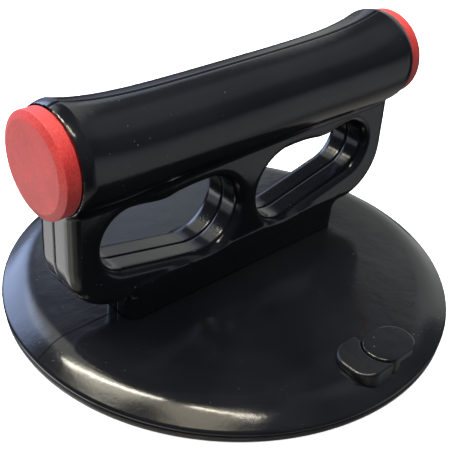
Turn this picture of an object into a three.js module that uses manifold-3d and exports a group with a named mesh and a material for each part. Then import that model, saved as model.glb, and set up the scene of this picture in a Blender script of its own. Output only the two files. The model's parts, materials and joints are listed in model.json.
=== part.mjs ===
// Suction grab bar: a round suction pad that carries a grab handle with two finger openings.
// A push-button pump sits in each end of the bar, and a release lever on the pad lets air back in.
// Millimetres, +Z up. X runs along the bar, -Y is the front, and the origin is the bottom centre of the pad.
import * as THREE from "three";
import { mergeVertices } from "three/addons/utils/BufferGeometryUtils.js";
import Module from "manifold-3d";

const wasm = await Module();
wasm.setup();

// Driving dimensions
const GAP = 0.3; // running and assembly clearance
const CUP_R = 80; // suction cup, at its lip
const PAD_TOP = 9.2; // top face of the pad shell
const PAD_RECESS = 7; // roof of the recess under the middle of the pad shell
const PAD_UNDERSIDE = 5.4; // underside of the pad shell round the recess
const PAD_EDGE_Z = 2.8; // underside of the pad shell's edge
const RECESS_R = 46;
const CUP_TOP = 5.1; // upper face of the rubber cup
const CUP_ROOF = 1.5; // roof of the space that the pump empties
const BAR_Z = 73.1; // axis of the bar's ends and of both pumps
const BAR_HALF = 71.8; // middle to end face
const BAR_R_END = 17.6;
const BAR_R_MID = 15.7;
const BAR_DROP = 2.2; // the middle of the bar lies this much lower than its ends
const FLARE_REACH = 68; // the flare is complete this far from the middle
const FLARE_POWER = 3.6; // how late the bar grows thicker towards its ends
const RISE_POWER = 6; // how late the bar rises towards its ends
const WEB_T = 9.5; // half thickness of the web under the bar
const WEB_FILLET = 4;
const WEB_WALL = 2.7; // skin left outside the web's hollows
const WEB_LOW = 19.3; // underside of the web
const WEB_CORNER_R = 19.5;
const OPENING_FILLET = 3.5;
const FOOT_HALF = 49.5;
const FOOT_T = 8.3;
const BUTTON_R = 16.3;
const BUTTON_OUT = 77.7; // face of the button from the middle of the bar
const BUTTON_INSIDE = 75.2; // inner face of the button's end wall
const FLANGE_X = 72; // inner face of the button's flange
const STROKE = 4.5; // travel of each pump button
const SLEEVE_R = 14; // guide sleeve on the button's back
const SLEEVE_FROM = 63; // inner end of the sleeve
const BORE_FLOOR = 34; // inner end of each pump's bore
const BARREL_R = 11.3;
const BARREL_TO = 52.7; // outer end of the barrel
const COLLAR_R = 12.7;
const COLLAR_TO = 57.3; // outer face of the collar, where the return spring stands
const PISTON_R = 9.4;
const PISTON_FROM = 44.2; // inner face of the piston at rest
const ROD_R = 3.9;
const TUBE_R = 2.5;
const TUBE_BORE_R = 1.9;
const AIRWAY_R = 0.8; // bore through the fittings
const SCREW_R = 1.4;
const SCREW_HEAD_R = 2.9;
const FOOT_SCREWS = [[-36, -4], [36, -4], [-36, 4], [36, 4]];
const SHELL_SCREWS = [[-65.5, 47], [65.5, 47], [-20, 16], [20, 16]];
const VALVE = { x: 4, y: -65.2 }; // release valve's hole through the pad
const VALVE_HOLE_R = 3.8;
const HINGE = { x: -5.2, y: -69.6, z: 10.65 }; // release lever's pin, along Y
const LEVER_TOP = 12.9;
const LEVER_X = [-2.5, 16.7];
const LEVER_Y = [HINGE.y - 6.9, HINGE.y + 6.9];
const HOUSING_TOP = 12.4;
const HOUSING_X = [-11.4, 9];
const HOUSING_CUT_X = 0.5; // the housing stops here, on both sides of the lever
const HOUSING_Y = [-76.8, -60];
const LUG_BOTTOM = 5; // the release parts are drawn from here, then trimmed to the pad
const STUD_R = 2.5; // stud that holds the release housing in the pad
const STUD_X = -8.2;
const STUD_Y = -68.2;
const SEAM = 0.12; // half of the gap between the two handle shells

// Bodies of manifold-3d and geometries of three.js, each way.
function bodyOf(geometry) {
  const bare = geometry.index ? geometry.toNonIndexed() : geometry.clone();
  bare.deleteAttribute("normal");
  bare.deleteAttribute("uv");
  const merged = mergeVertices(bare, 1e-4);
  const corners = merged.index.array;
  const triangles = [];
  for (let i = 0; i < corners.length; i += 3) {
    const [a, b, c] = corners.slice(i, i + 3);
    if (a !== b && b !== c && c !== a) triangles.push(a, b, c);
  }
  const vertProperties = new Float32Array(merged.attributes.position.array);
  const build = (order) =>
    new wasm.Manifold(new wasm.Mesh({ numProp: 3, vertProperties, triVerts: new Uint32Array(order) }));
  const made = build(triangles);
  return made.volume() < 0 ? build(triangles.reverse()) : made;
}

function geometryOf(body) {
  const mesh = body.getMesh();
  const points = new Float32Array(mesh.numVert * 3);
  for (let i = 0; i < mesh.numVert; i++)
    points.set(mesh.vertProperties.subarray(i * mesh.numProp, i * mesh.numProp + 3), i * 3);
  const geometry = new THREE.BufferGeometry();
  geometry.setAttribute("position", new THREE.BufferAttribute(points, 3));
  geometry.setIndex(new THREE.BufferAttribute(mesh.triVerts, 1));
  const faceted = geometry.toNonIndexed();
  faceted.computeVertexNormals();
  return faceted;
}

const join = (bodies) => bodies.reduce((all, next) => all.add(next));
const cut = (body, cutters) => cutters.reduce((left, next) => left.subtract(next), body);

// A turned body: profile of [distance along the axis, radius], turned about X, Y or Z through a point.
function turned(axis, profile, { at = [0, 0, 0], sides = 20 } = {}) {
  const lathe = new THREE.LatheGeometry(profile.map(([along, r]) => new THREE.Vector2(r, along)), sides);
  if (axis === "x") lathe.rotateZ(-Math.PI / 2);
  if (axis === "z") lathe.rotateX(Math.PI / 2);
  return bodyOf(lathe.translate(...at));
}

// A plain rod between two distances along its axis.
const rod = (axis, r, from, to, options) =>
  turned(axis, [[from, 0], [from, r], [to, r], [to, 0]], options);

// A tube or washer between two distances along its axis.
const tube = (axis, outer, inner, from, to, options) =>
  turned(axis, [[from, inner], [from, outer], [to, outer], [to, inner], [from, inner]], options);

function block([x0, x1], [y0, y1], [z0, z1]) {
  const box = new THREE.BoxGeometry(x1 - x0, y1 - y0, z1 - z0);
  return bodyOf(box.translate((x0 + x1) / 2, (y0 + y1) / 2, (z0 + z1) / 2));
}

// A body through closed rings of equal length, with flat end caps.
function loft(rings) {
  const count = rings[0].length;
  const positions = rings.flat(2);
  const index = [];
  for (let k = 0; k + 1 < rings.length; k++)
    for (let i = 0; i < count; i++) {
      const a = k * count + i;
      const b = k * count + ((i + 1) % count);
      index.push(a, b, b + count, a, b + count, a + count);
    }
  const last = (rings.length - 1) * count;
  const flat = flatten(rings[0]);
  for (const [a, b, c] of THREE.ShapeUtils.triangulateShape(flat, []))
    if (THREE.ShapeUtils.isClockWise(flat)) index.push(a, b, c, last + c, last + b, last + a);
    else index.push(c, b, a, last + a, last + b, last + c);
  const geometry = new THREE.BufferGeometry();
  geometry.setAttribute("position", new THREE.Float32BufferAttribute(positions, 3));
  geometry.setIndex(index);
  return bodyOf(geometry);
}

// The two coordinates in which a flat ring varies, turned so that the loft's side faces and caps agree.
function flatten(ring) {
  const spread = [0, 1, 2].map((axis) => {
    const values = ring.map((point) => point[axis]);
    return Math.max(...values) - Math.min(...values);
  });
  const fixed = spread.indexOf(Math.min(...spread));
  const [u, v] = [0, 1, 2].filter((axis) => axis !== fixed);
  return ring.map((point) => new THREE.Vector2(point[u], point[v]));
}

// An outline moved outwards by a distance along its corners' normals (inwards when negative).
function offset(outline, distance) {
  const turn = THREE.ShapeUtils.isClockWise(outline) ? -1 : 1;
  return outline.map((point, i) => {
    const before = outline[(i + outline.length - 1) % outline.length];
    const after = outline[(i + 1) % outline.length];
    const along = after.clone().sub(before).normalize();
    return new THREE.Vector2(point.x + turn * along.y * distance, point.y - turn * along.x * distance);
  });
}

// Rings of an XZ outline at depths along Y, each with its own offset.
const ringsAlongY = (outline, stops) =>
  stops.map(([y, distance]) => offset(outline, distance).map((p) => [p.x, y, p.y]));

// A plate of an XZ outline with rounded front and rear edges.
function roundedPlate(outline, halfThickness, fillet) {
  const inner = halfThickness - fillet;
  const stops = [0, 45, 90].map((degrees) => {
    const angle = THREE.MathUtils.degToRad(degrees);
    return [inner + fillet * Math.sin(angle), fillet * (Math.cos(angle) - 1)];
  });
  return loft(ringsAlongY(outline, [...stops.map(([y, d]) => [-y, d]).reverse(), ...stops]));
}

// A cutter for an XZ outline whose mouth flares out with a fillet at the front and the rear face.
function filletedHole(outline, halfThickness, fillet) {
  const inner = halfThickness - fillet;
  const stops = [0, 45, 90].map((degrees) => {
    const angle = THREE.MathUtils.degToRad(degrees);
    return [inner + fillet * Math.sin(angle), fillet * (1 - Math.cos(angle))];
  });
  stops.push([halfThickness + 2, fillet]);
  return loft(ringsAlongY(outline, [...stops.map(([y, d]) => [-y, d]).reverse(), ...stops]));
}

const mirrored = (body) => body.mirror([1, 0, 0]);

// The bar: round sections whose radius and height follow one flare formula.
function barSection(x) {
  const reach = Math.min(1, Math.abs(x) / FLARE_REACH);
  return {
    r: THREE.MathUtils.lerp(BAR_R_MID, BAR_R_END, reach ** FLARE_POWER),
    z: BAR_Z - BAR_DROP * (1 - reach ** RISE_POWER),
  };
}

function barLoft(stations, inset = () => 0, sides = 28) {
  return loft(
    stations.map((x) => {
      const { r, z } = barSection(x);
      return Array.from({ length: sides }, (_, i) => {
        const angle = (2 * Math.PI * i) / sides;
        const radius = r - inset(x);
        return [x, radius * Math.cos(angle), z + radius * Math.sin(angle)];
      });
    }),
  );
}

function barSolid() {
  const right = [0, 25, 40, 50, 58, 64, FLARE_REACH, 69.8, 71, BAR_HALF];
  const stations = [...right.slice(1).map((x) => -x).reverse(), ...right];
  const endRounding = (x) => Math.max(0, Math.abs(x) - (BAR_HALF - 2.7)) ** 2 / 12;
  return barLoft(stations, endRounding);
}

function webOutline() {
  const top = 66;
  const cornerX = BAR_HALF - WEB_CORNER_R;
  const cornerZ = WEB_LOW + WEB_CORNER_R;
  const shape = new THREE.Shape();
  shape.moveTo(BAR_HALF, top);
  shape.lineTo(-BAR_HALF, top);
  shape.absarc(-cornerX, cornerZ, WEB_CORNER_R, Math.PI, 1.5 * Math.PI, false);
  shape.absarc(cornerX, cornerZ, WEB_CORNER_R, 1.5 * Math.PI, 2 * Math.PI, false);
  return shape.getPoints(8);
}

// A finger opening: a large inner lobe and a smaller outer one, with a low ridge between two fingers above.
function openingOutline() {
  const inner = { x: 18.5, z: 38.7, r: 13.9 };
  const outer = { x: 49.6, z: 42.4, r: 10.8 };
  const span = new THREE.Vector2(outer.x - inner.x, outer.z - inner.z);
  const floorAngle = span.angle() - Math.acos((inner.r - outer.r) / span.length());
  const [outerTop, innerTop] = [103, 74].map(THREE.MathUtils.degToRad);
  const on = ({ x, z, r }, angle) => [x + r * Math.cos(angle), z + r * Math.sin(angle)];
  const handle = 6; // length of the ridge's curve handles
  const [x1, z1] = on(outer, outerTop);
  const [x2, z2] = on(inner, innerTop);
  const shape = new THREE.Shape();
  shape.moveTo(...on(inner, floorAngle));
  shape.lineTo(...on(outer, floorAngle));
  shape.absarc(outer.x, outer.z, outer.r, floorAngle, outerTop, false);
  shape.bezierCurveTo(
    x1 - handle * Math.sin(outerTop), z1 + handle * Math.cos(outerTop),
    x2 + handle * Math.sin(innerTop), z2 - handle * Math.cos(innerTop), x2, z2,
  );
  shape.absarc(inner.x, inner.z, inner.r, innerTop, floorAngle + 2 * Math.PI, false);
  const points = shape.getPoints(6);
  points.pop();
  return points;
}

// The foot: rounded plan outlines that taper down to the pad.
function footSolid() {
  const plan = (halfLength, halfWidth, z) => {
    const corner = Math.min(4.5, halfWidth);
    const points = [];
    for (const [sx, sy, start] of [[1, 1, 0], [-1, 1, 90], [-1, -1, 180], [1, -1, 270]])
      for (const step of [0, 30, 60, 90]) {
        const angle = THREE.MathUtils.degToRad(start + step);
        const x = sx * (halfLength - corner) + corner * Math.cos(angle);
        const y = sy * (halfWidth - corner) + corner * Math.sin(angle);
        points.push([x, y, z]);
      }
    return points;
  };
  return loft([
    plan(FOOT_HALF, FOOT_T, PAD_TOP + GAP),
    plan(FOOT_HALF, WEB_T - 0.6, WEB_LOW - 1),
    plan(FOOT_HALF, WEB_T - 0.6, WEB_LOW + 4),
  ]);
}

// Everything hollow on the right of the bar, from the tube's clearance out to the button's counterbore.
function pumpBore() {
  const seat = FLANGE_X - STROKE - GAP; // the pressed button's flange stops just short of it
  return turned("x", [
    [BORE_FLOOR - 4, 0], [BORE_FLOOR - 4, TUBE_R + 0.5], [BORE_FLOOR, TUBE_R + 0.5],
    [BORE_FLOOR, BARREL_R + GAP], [BARREL_TO + GAP, BARREL_R + GAP], [BARREL_TO + GAP, COLLAR_R + GAP],
    [COLLAR_TO + 0.7, COLLAR_R + GAP], [COLLAR_TO + 0.7, SLEEVE_R + 0.4], [seat, SLEEVE_R + 0.4],
    [seat, BUTTON_R + GAP], [BAR_HALF + 2, BUTTON_R + GAP], [BAR_HALF + 2, 0],
  ], { at: [0, 0, BAR_Z], sides: 28 });
}

function handleHollows() {
  const grip = barLoft([-30.5, 30.5], () => 3, 20);
  const bore = pumpBore();
  const column = rod("z", TUBE_R + GAP, 0, 64, { sides: 16 });
  const gasketSeat = rod("z", 5.3, 0, PAD_TOP + 2.6, { sides: 20 });
  const hollows = [grip, bore, mirrored(bore), column, gasketSeat];
  const depth = WEB_T - WEB_WALL;
  for (const [xs, zs] of [[[6.5, 15.5], [12, 21]], [[24.5, 31], [12, 21]], [[62.5, 67], [32, 41.5]]])
    for (const side of [-1, 1])
      hollows.push(block(side > 0 ? xs : [-xs[1], -xs[0]], [-depth, depth], zs));
  for (const [x, y] of FOOT_SCREWS)
    hollows.push(rod("z", SCREW_R + GAP, 0, 20, { at: [x, y, 0], sides: 12 }));
  return hollows;
}

function handleSolid() {
  const opening = filletedHole(openingOutline(), WEB_T, OPENING_FILLET);
  const web = roundedPlate(webOutline(), WEB_T, WEB_FILLET);
  const outside = cut(join([barSolid(), web, footSolid()]), [opening, mirrored(opening)]);
  return cut(outside, handleHollows());
}

function frontShell(handle) {
  const half = handle.intersect(block([-90, 90], [-30, -SEAM], [0, 100]));
  const pilots = SHELL_SCREWS.map(([x, z]) =>
    rod("y", SCREW_R + GAP, -6.4, 1, { at: [x, 0, z], sides: 12 }));
  return cut(half, pilots);
}

function rearShell(handle) {
  const half = handle.intersect(block([-90, 90], [SEAM, 30], [0, 100]));
  const holes = SHELL_SCREWS.flatMap(([x, z]) => [
    rod("y", SCREW_R + GAP, -1, 12, { at: [x, 0, z], sides: 12 }),
    rod("y", SCREW_HEAD_R + GAP, WEB_T - 3.4, 14, { at: [x, 0, z], sides: 16 }),
  ]);
  return cut(half, holes);
}

// Pad parts
const PAD_OUTSIDE = [ // height and radius of the pad shell's visible face, from its edge up to the flat top
  [PAD_EDGE_Z, 80], [3.4, 80.4], [4.1, 80.2], [6, 77.9], [7.5, 75.3], [8.4, 73.1], [9, 70.8], [PAD_TOP, 68.6],
];

function padShell() {
  const disc = turned("z", [
    [PAD_RECESS, 0], [PAD_RECESS, RECESS_R], [PAD_UNDERSIDE, RECESS_R], [PAD_UNDERSIDE, 72],
    [PAD_EDGE_Z, 77.8], ...PAD_OUTSIDE, [PAD_TOP, 0],
  ], { sides: 44 });
  const hole = (r, x, y, sides = 16) => rod("z", r, 0, PAD_TOP + 1, { at: [x, y, 0], sides });
  const holes = FOOT_SCREWS.map(([x, y]) => hole(SCREW_R + GAP, x, y, 12));
  holes.push(hole(TUBE_R + GAP, 0, 0), hole(VALVE_HOLE_R, VALVE.x, VALVE.y));
  holes.push(hole(STUD_R + GAP, STUD_X, STUD_Y));
  return cut(disc, holes);
}

// Everything from the floor up to just above the pad shell, for cutting what stands on the pad.
function padSpace() {
  const skin = PAD_OUTSIDE.map(([z, r]) => [z + GAP, r + GAP]);
  return turned("z", [[0, 0], [0, 90], [PAD_EDGE_Z, 90], ...skin, [PAD_TOP + GAP, 0]], { sides: 88 });
}

function suctionCup() {
  const rib = (r) => [[CUP_ROOF, r - 1.2], [0.7, r - 0.8], [0.7, r + 0.8], [CUP_ROOF, r + 1.2]];
  const cup = turned("z", [
    [CUP_TOP, 6], [CUP_ROOF, 6], ...rib(28), ...rib(50), [CUP_ROOF, 67.5], [0, 70.2], [0, 79.6],
    [0.35, CUP_R], [1.2, CUP_R], [1.6, 79.6], [2.1, 77.6], [CUP_TOP, 71.8], [CUP_TOP, 6],
  ], { sides: 44 });
  return cut(cup, [rod("z", 1.6, 0, 6, { at: [VALVE.x, VALVE.y, 0], sides: 12 })]);
}

function backingPlate() {
  const plate = tube("z", 45.6, 5.4, 5.5, PAD_RECESS - GAP, { sides: 32 });
  return cut(plate, FOOT_SCREWS.map(([x, y]) =>
    rod("z", SCREW_HEAD_R + GAP, 0, PAD_TOP, { at: [x, y, 0], sides: 16 })));
}

const portNipple = () =>
  turned("z", [[5.5, 0.9], [5.5, 5.1], [6.6, 5.1], [6.6, 1.5], [16, 1.5], [16, 0.9], [5.5, 0.9]],
    { sides: 16 });

const portGasket = () => tube("z", 5, TUBE_R + GAP, PAD_TOP + GAP, PAD_TOP + 2.2, { sides: 20 });

const filterDisc = () => tube("z", 5.6, AIRWAY_R, 3.9, CUP_TOP, { sides: 20 });

// Screws: a button head and a shank, drawn along their axis from the head.
function screw(axis, headAt, shankTo, at) {
  const towards = Math.sign(shankTo - headAt);
  const neck = headAt + towards * 1.5;
  return turned(axis, [
    [headAt + towards * 0.6, 0], [headAt + towards * 0.6, 1.2], [headAt, 1.3], [headAt, SCREW_HEAD_R - 0.5],
    [headAt + towards * 0.6, SCREW_HEAD_R], [neck, SCREW_HEAD_R], [neck, SCREW_R], [shankTo, SCREW_R],
    [shankTo, 0],
  ], { at, sides: 10 });
}

// Pump parts, drawn for the right end.
const barrel = () =>
  turned("x", [
    [29, AIRWAY_R], [29, 1.6], [BORE_FLOOR + 0.4, 1.6], [BORE_FLOOR + 0.4, BARREL_R],
    [BARREL_TO, BARREL_R], [BARREL_TO, PISTON_R + GAP], [BORE_FLOOR + 3.4, PISTON_R + GAP],
    [BORE_FLOOR + 3.4, AIRWAY_R], [29, AIRWAY_R],
  ], { at: [0, 0, BAR_Z] });

const inletFlap = () => rod("x", 3, BORE_FLOOR + 3.7, BORE_FLOOR + 4.4, { at: [0, 0, BAR_Z], sides: 16 });

const collar = () => tube("x", COLLAR_R, ROD_R + GAP, BARREL_TO + 0.6, COLLAR_TO, { at: [0, 0, BAR_Z] });

const button = () =>
  turned("x", [
    [BUTTON_INSIDE, 0], [BUTTON_INSIDE, 4.2], [66, 4.2], [66, 6], [BUTTON_INSIDE, 6], [BUTTON_INSIDE, 12.4],
    [SLEEVE_FROM, 12.4], [SLEEVE_FROM, SLEEVE_R], [FLANGE_X, SLEEVE_R], [FLANGE_X, BUTTON_R],
    [76.6, BUTTON_R], [77.3, BUTTON_R - 1.1], [BUTTON_OUT, 13.8], [BUTTON_OUT, 0],
  ], { at: [0, 0, BAR_Z], sides: 28 });

function piston() {
  const body = turned("x", [
    [PISTON_FROM, 0], [PISTON_FROM, PISTON_R], [PISTON_FROM + 2, PISTON_R], [PISTON_FROM + 2, 7.6],
    [PISTON_FROM + 5, 7.6], [PISTON_FROM + 5, PISTON_R], [PISTON_FROM + 7, PISTON_R],
    [PISTON_FROM + 7, ROD_R], [BUTTON_INSIDE - GAP, ROD_R], [BUTTON_INSIDE - GAP, 0],
  ], { at: [0, 0, BAR_Z] });
  return cut(body, [rod("x", 0.9, 40, 52, { at: [0, 0, BAR_Z + 5.8], sides: 10 })]);
}

const pistonSeal = () =>
  tube("x", PISTON_R + 0.1, 7.8, PISTON_FROM + 2.2, PISTON_FROM + 4.8, { at: [0, 0, BAR_Z] });

const exhaustFlap = () =>
  tube("x", 7.6, ROD_R + GAP, PISTON_FROM + 7.3, PISTON_FROM + 8, { at: [0, 0, BAR_Z], sides: 24 });

class Helix extends THREE.Curve {
  constructor(radius, length, turns) {
    super();
    Object.assign(this, { radius, length, turns });
  }
  getPoint(t, target = new THREE.Vector3()) {
    const angle = 2 * Math.PI * this.turns * t;
    return target.set(this.length * t, this.radius * Math.cos(angle), this.radius * Math.sin(angle));
  }
}

function coil({ radius, length, turns, wire, stepsPerTurn, sides }) {
  const section = new THREE.Shape();
  section.absarc(0, 0, wire, 0, 2 * Math.PI);
  const path = new Helix(radius, length, turns);
  const outline = new THREE.Shape(section.getSpacedPoints(sides).slice(0, sides));
  return new THREE.ExtrudeGeometry(outline, { steps: turns * stepsPerTurn, extrudePath: path });
}

function returnSpring() {
  const wire = 0.6;
  const [from, to] = [COLLAR_TO + GAP + wire, BUTTON_INSIDE - GAP - wire];
  const helix = coil({ radius: 8.6, length: to - from, turns: 5, wire, stepsPerTurn: 8, sides: 4 });
  return bodyOf(helix.translate(from, 0, BAR_Z));
}

const airTube = () => tube("x", TUBE_R, TUBE_BORE_R, 6.6, BORE_FLOOR - 0.6, { at: [0, 0, BAR_Z], sides: 12 });

function teeFitting() {
  const at = [0, 0, BAR_Z];
  const body = join([
    turned("x", [[-12, 0], [-12, 1.6], [-6, 1.6], [-6, 3.6], [6, 3.6], [6, 1.6], [12, 1.6], [12, 0]],
      { at, sides: 16 }),
    turned("z", [[-13, 0], [-13, 1.6], [-6, 1.6], [-6, 3.4], [0, 3.4], [0, 0]], { at, sides: 16 }),
  ]);
  const bores = [rod("x", AIRWAY_R, -13, 13, { at, sides: 8 }), rod("z", AIRWAY_R, -14, 0, { at, sides: 8 })];
  return cut(body, bores);
}

const downTube = () => tube("z", TUBE_R, TUBE_BORE_R, PAD_TOP + GAP, BAR_Z - 6.6, { sides: 12 });

// Release parts
function roundedPlan([x0, x1], [y0, y1], r) {
  const centres = [[x1 - r, y1 - r, 0], [x0 + r, y1 - r, 90], [x0 + r, y0 + r, 180], [x1 - r, y0 + r, 270]];
  return centres.flatMap(([cx, cy, start]) =>
    [0, 22.5, 45, 67.5, 90].map((step) => {
      const angle = THREE.MathUtils.degToRad(start + step);
      return [cx + r * Math.cos(angle), cy + r * Math.sin(angle)];
    }));
}

// A low boss of a plan outline: straight sides, then a rounded top edge.
function boss(plan, bottom, top, edge) {
  const centre = plan.reduce(([sx, sy], [x, y]) => [sx + x / plan.length, sy + y / plan.length], [0, 0]);
  const ring = (z, inset) =>
    plan.map(([x, y]) => {
      const reach = Math.hypot(x - centre[0], y - centre[1]);
      const share = 1 - inset / reach;
      return [centre[0] + (x - centre[0]) * share, centre[1] + (y - centre[1]) * share, z];
    });
  return loft([ring(bottom, 0), ring(top - edge, 0), ring(top - 0.3 * edge, 0.3 * edge), ring(top, edge)]);
}

const leverPlan = (grow) =>
  roundedPlan([LEVER_X[0] - grow, LEVER_X[1] + grow], [LEVER_Y[0] - grow, LEVER_Y[1] + grow], 6.7 + grow);

const hingeRod = (r, from, to) =>
  rod("y", r, HINGE.y + from, HINGE.y + to, { at: [HINGE.x, 0, HINGE.z], sides: 10 });

// The housing's right end is hollowed round the lever, and its top closes over the hinge.
function releaseHousing() {
  const body = cut(boss(roundedPlan(HOUSING_X, HOUSING_Y, 6.5), LUG_BOTTOM, HOUSING_TOP, 2), [padSpace()]);
  const stud = rod("z", STUD_R, 6, PAD_TOP + 1, { at: [STUD_X, STUD_Y, 0], sides: 16 });
  const ring = (z) => leverPlan(0.5).map(([x, y]) => [x, y, z]);
  const leverSpace = loft([ring(LUG_BOTTOM - 1), ring(HOUSING_TOP + 1)]);
  const beyond = block([HOUSING_CUT_X, 20], [HOUSING_Y[0] - 1, HOUSING_Y[1] + 1], [0, HOUSING_TOP + 1]);
  const roof = HOUSING_TOP - 0.35; // underside of the skin over the hinge
  const slot = block([HINGE.x - 2.1, HINGE.x + 4.5], [HINGE.y - 5, HINGE.y + 5], [PAD_TOP, roof]);
  return cut(join([body, stud]), [leverSpace, beyond, slot, hingeRod(0.65, -6, 11)]);
}

const releasePin = () => hingeRod(0.5, -5.7, 8.6);

function releaseLever() {
  const thumbPad = cut(boss(leverPlan(0), LUG_BOTTOM, LEVER_TOP, 0.8), [padSpace()]);
  const knuckles = [[-4.6, -2.6], [2.6, 4.6]].map(([from, to]) => {
    const arm = block([HINGE.x, HINGE.x + 5], [HINGE.y + from, HINGE.y + to], [HINGE.z - 0.9, HINGE.z + 0.2]);
    return hingeRod(1.1, from, to).add(arm);
  });
  const socket = rod("z", 1.5, 0, PAD_TOP + 2.2, { at: [VALVE.x, VALVE.y, 0], sides: 12 });
  return cut(join([thumbPad, ...knuckles]), [hingeRod(0.7, -9, 9), socket]);
}

const releasePlug = () =>
  turned("z", [[5.3, 0], [5.3, 2.3], [7.2, 2.3], [8.2, 1.2], [10.9, 1.2], [10.9, 0]],
    { at: [VALVE.x, VALVE.y, 0], sides: 16 });

function releaseSpring() {
  const helix = coil({ radius: 0.95, length: 4, turns: 4, wire: 0.22, stepsPerTurn: 6, sides: 4 });
  return bodyOf(helix.rotateZ(Math.PI / 2).translate(HINGE.x, HINGE.y - 2, HINGE.z));
}

// Materials and assembly
const finish = (color, roughness, metalness = 0) =>
  new THREE.MeshStandardMaterial({ color, roughness, metalness });
const GLOSS_BLACK = finish(0x101115, 0.22);
const RED = finish(0xc8262a, 0.5);
const RUBBER = finish(0x141414, 0.6);
const WHITE_PLASTIC = finish(0xd8d8d2, 0.5);
const CLEAR_TUBE = finish(0xc9d3d8, 0.3);
const STEEL = finish(0x9a9da1, 0.35, 0.9);
const BRASS = finish(0xb8954a, 0.35, 0.9);

const grabBar = new THREE.Group();
const add = (name, body, material) => {
  const mesh = new THREE.Mesh(geometryOf(body), material);
  mesh.name = name;
  grabBar.add(mesh);
};

add("pad_shell", padShell(), GLOSS_BLACK);
add("suction_cup", suctionCup(), RUBBER);
add("backing_plate", backingPlate(), STEEL);
add("port_nipple", portNipple(), BRASS);
add("port_gasket", portGasket(), RUBBER);
add("filter_disc", filterDisc(), WHITE_PLASTIC);
FOOT_SCREWS.forEach(([x, y], i) => add(`foot_screw_${i + 1}`, screw("z", 5.4, 19, [x, y, 0]), STEEL));

const handle = handleSolid();
add("handle_front_shell", frontShell(handle), GLOSS_BLACK);
add("handle_rear_shell", rearShell(handle), GLOSS_BLACK);
SHELL_SCREWS.forEach(([x, z], i) =>
  add(`shell_screw_${i + 1}`, screw("y", WEB_T - 1.9, -6, [x, 0, z]), STEEL));

for (const [side, place] of [["right", (body) => body], ["left", mirrored]]) {
  add(`${side}_barrel`, place(barrel()), WHITE_PLASTIC);
  add(`${side}_inlet_flap`, place(inletFlap()), RUBBER);
  add(`${side}_collar`, place(collar()), WHITE_PLASTIC);
  add(`${side}_button`, place(button()), RED);
  add(`${side}_piston`, place(piston()), WHITE_PLASTIC);
  add(`${side}_piston_seal`, place(pistonSeal()), RUBBER);
  add(`${side}_exhaust_flap`, place(exhaustFlap()), RUBBER);
  add(`${side}_return_spring`, place(returnSpring()), STEEL);
  add(`${side}_air_tube`, place(airTube()), CLEAR_TUBE);
}
add("tee_fitting", teeFitting(), WHITE_PLASTIC);
add("down_tube", downTube(), CLEAR_TUBE);

add("release_housing", releaseHousing(), GLOSS_BLACK);
add("release_pin", releasePin(), STEEL);
add("release_spring", releaseSpring(), STEEL);
add("release_lever", releaseLever(), GLOSS_BLACK);
add("release_plug", releasePlug(), RUBBER);

export default grabBar;
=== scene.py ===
"""Looks for the suction grab bar: fine meshes, materials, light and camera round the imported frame.

Shape dimensions are millimetres in the frame's axes, and places come from the frame's own nodes.
"""
import json
import math

import bmesh
import bpy
import numpy as np
from mathutils import Matrix, Vector


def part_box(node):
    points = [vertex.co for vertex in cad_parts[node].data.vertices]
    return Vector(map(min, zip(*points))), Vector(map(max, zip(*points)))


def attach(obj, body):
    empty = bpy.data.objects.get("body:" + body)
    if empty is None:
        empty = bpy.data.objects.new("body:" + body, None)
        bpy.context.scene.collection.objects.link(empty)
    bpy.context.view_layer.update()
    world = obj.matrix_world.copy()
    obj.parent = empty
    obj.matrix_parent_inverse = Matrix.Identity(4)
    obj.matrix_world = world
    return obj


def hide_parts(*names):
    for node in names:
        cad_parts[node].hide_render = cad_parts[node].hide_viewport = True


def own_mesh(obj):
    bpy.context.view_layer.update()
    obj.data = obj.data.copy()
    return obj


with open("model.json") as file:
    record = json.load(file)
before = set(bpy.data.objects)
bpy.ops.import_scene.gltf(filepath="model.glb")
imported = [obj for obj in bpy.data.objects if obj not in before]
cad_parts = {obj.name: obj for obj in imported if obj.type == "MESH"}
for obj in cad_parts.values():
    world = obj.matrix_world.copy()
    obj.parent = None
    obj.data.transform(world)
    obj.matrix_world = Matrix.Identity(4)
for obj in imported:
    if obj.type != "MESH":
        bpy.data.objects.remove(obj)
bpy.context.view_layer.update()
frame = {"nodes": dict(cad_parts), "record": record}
MM = 0.001


def box_mm(node):
    """A node's lowest and highest corner in millimetres."""
    return [np.array(corner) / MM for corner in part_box(node)]


# Places and main sizes, from the frame
PAD_HIGH = box_mm("pad_shell")[1]
BUTTON_LOW, BUTTON_HIGH = box_mm("right_button")
LEVER_LOW, LEVER_HIGH = box_mm("release_lever")
HOUSING_LOW, HOUSING_HIGH = box_mm("release_housing")
PIN_LOW, PIN_HIGH = box_mm("release_pin")
PAD_TOP = PAD_HIGH[2]
PAD_R = PAD_HIGH[0]
CUP_R = box_mm("suction_cup")[1][0]
BAR_Z = (BUTTON_LOW[2] + BUTTON_HIGH[2]) / 2
BAR_HALF = box_mm("handle_front_shell")[1][0]
BUTTON_R = BUTTON_HIGH[2] - BAR_Z
BUTTON_OUT = BUTTON_HIGH[0]
PIN = (PIN_LOW + PIN_HIGH) / 2
HINGE = (PIN[0], (LEVER_LOW[1] + LEVER_HIGH[1]) / 2, PIN[2])
PLUG = sum(box_mm("release_plug")) / 2

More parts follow.
